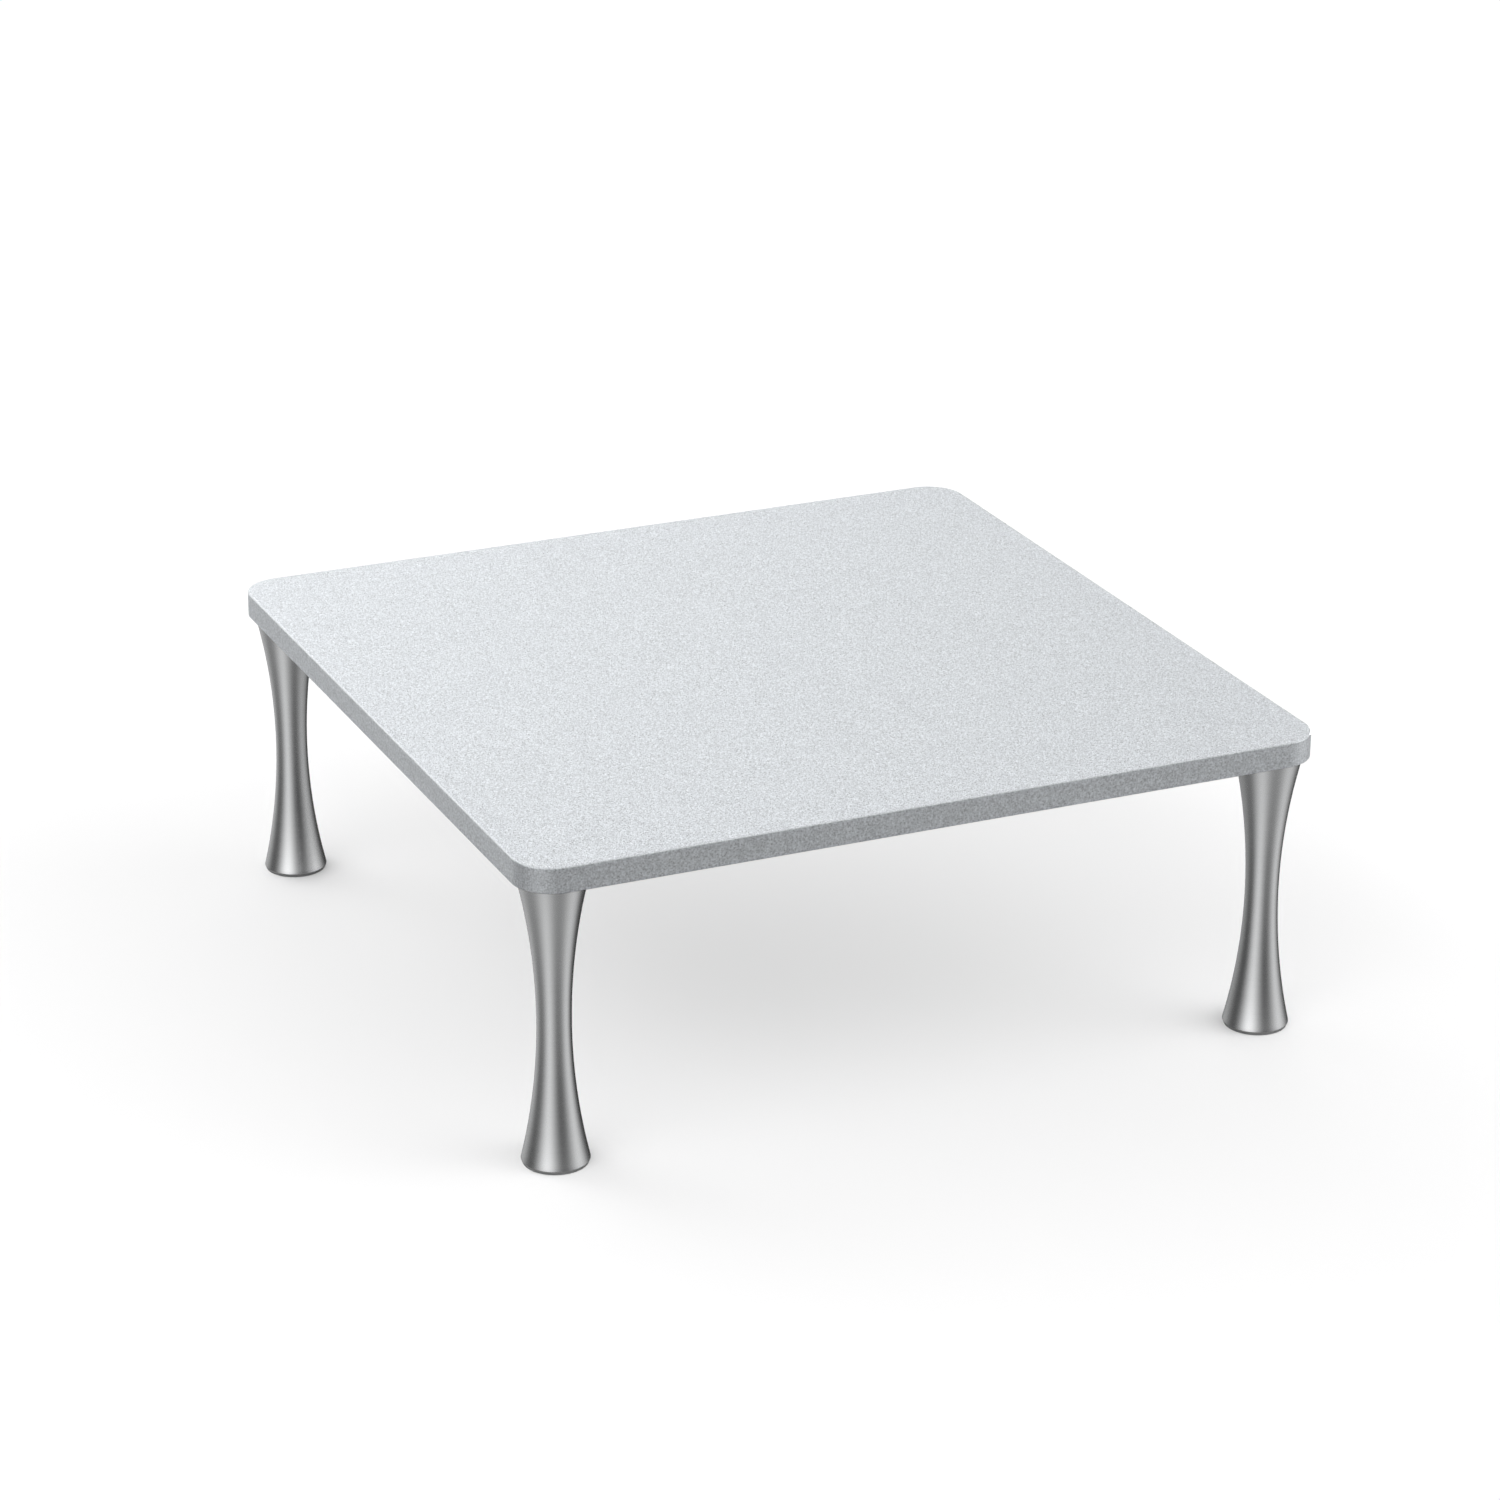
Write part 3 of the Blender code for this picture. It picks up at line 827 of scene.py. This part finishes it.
def studio_world():
    """A pale room with tall soft panels and a soft ceiling."""
    world = bpy.data.worlds.new("studio")
    world.use_nodes = True
    world.cycles.sampling_method = "NONE"
    scene.world = world
    tree = world.node_tree
    tree.nodes.clear()
    out = node(tree, "ShaderNodeOutputWorld")
    back = node(tree, "ShaderNodeBackground")
    put(tree, out.inputs["Surface"], back.outputs[0])
    direction = node(tree, "ShaderNodeTexCoord").outputs["Generated"]
    parts = node(tree, "ShaderNodeSeparateXYZ")
    put(tree, parts.inputs[0], direction)
    x, y, z = parts.outputs
    level = math_node(tree, "SQRT", math_node(tree, "MAXIMUM", math_node(tree, "SUBTRACT", 1.0, math_node(tree, "MULTIPLY", z, z)), 1e-6))

    def panel(azimuth, tightness, strength):
        a = math.radians(azimuth)
        dot = math_node(tree, "MULTIPLY_ADD", x, math.sin(a), math_node(tree, "MULTIPLY", y, math.cos(a)))
        facing = math_node(tree, "MULTIPLY_ADD", math_node(tree, "DIVIDE", dot, level), 0.5, 0.5, clamp=True)
        return math_node(tree, "MULTIPLY", math_node(tree, "POWER", facing, tightness), strength)

    def mix(share, first, second):
        made = node(tree, "ShaderNodeMix", data_type="FLOAT")
        for socket, value in zip((made.inputs[0], made.inputs[2], made.inputs[3]), (share, first, second)):
            put(tree, socket, value)
        return made.outputs[0]

    def total_of(parts):
        total = parts[0]
        for part in parts[1:]:
            total = math_node(tree, "ADD", total, part)
        return total

    def rise(span):
        made = node(tree, "ShaderNodeMapRange", interpolation_type="SMOOTHSTEP")
        put(tree, made.inputs["Value"], z)
        made.inputs["From Min"].default_value, made.inputs["From Max"].default_value = span
        return made.outputs[0]

    total = total_of([panel(*numbers) for numbers in PANELS])
    total = math_node(tree, "MULTIPLY", total, math_node(tree, "MULTIPLY_ADD", rise(PANEL_GAIN_FROM), PANEL_GAIN, 1.0))
    haze = math_node(tree, "MULTIPLY", math_node(tree, "SUBTRACT", math_node(tree, "MULTIPLY", z, -1.0), HAZE_FROM), FLOOR_HAZE, clamp=True)
    haze_level = math_node(tree, "MULTIPLY", math_node(tree, "SUBTRACT", 1.0, panel(*HAZE_GAP)), FLOOR_HAZE_LEVEL)
    total = mix(haze, total, haze_level)
    total = mix(rise(PIT_FROM), PIT_LEVEL, total)
    shiny = mix(rise(CEILING_FROM), total, CEILING)
    soft = []
    for azimuth, tightness, strength, middle, half in SOFT_PANELS:
        height = math_node(tree, "DIVIDE", math_node(tree, "SUBTRACT", z, middle), half)
        height = math_node(tree, "EXPONENT", math_node(tree, "MULTIPLY", math_node(tree, "MULTIPLY", height, height), -1.0))
        soft.append(math_node(tree, "MULTIPLY", panel(azimuth, tightness, strength), height))
    overhead = math_node(tree, "MULTIPLY", math_node(tree, "SUBTRACT", z, 0.5), 2.0, clamp=True)
    soft.append(math_node(tree, "MULTIPLY", overhead, ROOM_TOP))
    matt = mix(rise((-0.06, 0.02)), ROOM_BELOW, total_of(soft))
    rays = node(tree, "ShaderNodeLightPath")
    level_out = mix(rays.outputs["Is Glossy Ray"], matt, shiny)
    level_out = mix(rays.outputs["Is Camera Ray"], level_out, WHITE)
    put(tree, back.inputs["Strength"], level_out)
    back.inputs["Color"].default_value = (1.0, 1.0, 1.0, 1.0)
    return world


studio_world()


def area(name, location, target, size, power, sheen=False):
    data = bpy.data.lights.new(name, "AREA")
    data.shape = "RECTANGLE"
    data.size, data.size_y = size
    data.energy = power
    obj = bpy.data.objects.new(name, data)
    obj.location = location
    obj.rotation_mode = "QUATERNION"
    obj.rotation_quaternion = (Vector(location) - Vector(target)).to_track_quat("Z", "Y")
    obj.visible_camera = False
    obj.visible_glossy = sheen
    scene.collection.objects.link(obj)
    return obj


# soft lights that only reach the plate: one high at the left, one low in front, and low ones at both sides
only_plate = bpy.data.collections.new("only_plate")
only_plate.objects.link(top)
for light in (area("left_glow", (-0.50, 0.40, 0.83), (-0.10, 0.06, 0.114), (0.4, 0.4), 15.9),
              area("front_fill", (0.35, -1.20, 0.20), (0.0, -0.15, 0.109), (0.6, 0.3), 2.95),
              area("right_rim", (1.10, 0.50, 0.05), (0.14, -0.14, 0.109), (0.5, 0.1), 3.1, True),
              area("right_low", (1.15, -0.35, 0.05), (0.14, -0.14, 0.109), (0.5, 0.1), 1.0, True),
              area("left_rim", (-1.25, -0.27, 0.05), (-0.14, -0.14, 0.109), (0.5, 0.1), 0.65, True)):
    light.light_linking.receiver_collection = only_plate

# ------------------------------------------------------------- camera
AZIMUTH, ELEVATION, ROLL = math.radians(-24.1767), math.radians(22.1042), math.radians(0.2897)
camera_data = bpy.data.cameras.new("camera")
camera_data.sensor_fit = "HORIZONTAL"
camera_data.sensor_width = 36.0
camera_data.lens = 109.626
camera_data.clip_start, camera_data.clip_end = 0.05, 60.0
camera = bpy.data.objects.new("camera", camera_data)
scene.collection.objects.link(camera)
forward = Vector((math.sin(-AZIMUTH) * math.cos(ELEVATION), math.cos(AZIMUTH) * math.cos(ELEVATION), -math.sin(ELEVATION)))
right = forward.cross(Vector((0.0, 0.0, 1.0))).normalized()
up_vector = right.cross(forward)
right_rolled = right * math.cos(ROLL) + up_vector * math.sin(ROLL)
up_rolled = up_vector * math.cos(ROLL) - right * math.sin(ROLL)
camera.rotation_mode = "QUATERNION"
camera.rotation_quaternion = Matrix((right_rolled, up_rolled, -forward)).transposed().to_quaternion()
camera.location = (-0.64035, -1.41846, 0.70921)
scene.camera = camera
